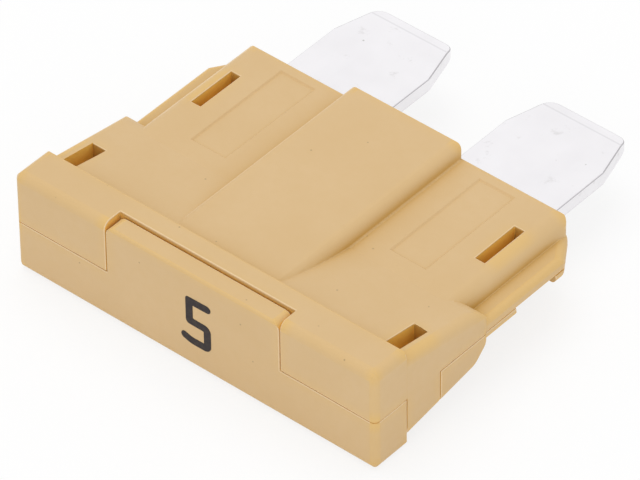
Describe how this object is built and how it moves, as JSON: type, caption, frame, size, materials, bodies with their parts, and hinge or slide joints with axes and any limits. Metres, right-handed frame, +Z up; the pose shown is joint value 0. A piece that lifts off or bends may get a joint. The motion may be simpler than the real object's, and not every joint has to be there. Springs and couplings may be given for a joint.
{
  "type": "blade fuse",
  "caption": "Plug-in automotive blade fuse of medium size: tan snap-together plastic housing with side guide ledges and a raised chamber hump, bright flat plated blades",
  "frame": {"origin": "bottom centre of the whole fuse as it lies flat on its broad side", "axes": "X runs across the two blades, +Y from the head to the blade tips, +Z up through the thickness, towards the cover shell"},
  "size_m": [0.0192, 0.0198, 0.0052],
  "materials": {
    "housing": "moulded tan plastic, slightly satin",
    "plated_metal": "bright tin-plated sheet, satin",
    "ink": "dark printed ink"
  },
  "bodies": {
    "root": {"cover_shell": "housing", "base_shell": "housing", "fuse_element": "plated_metal"}
  },
  "joints": []
}
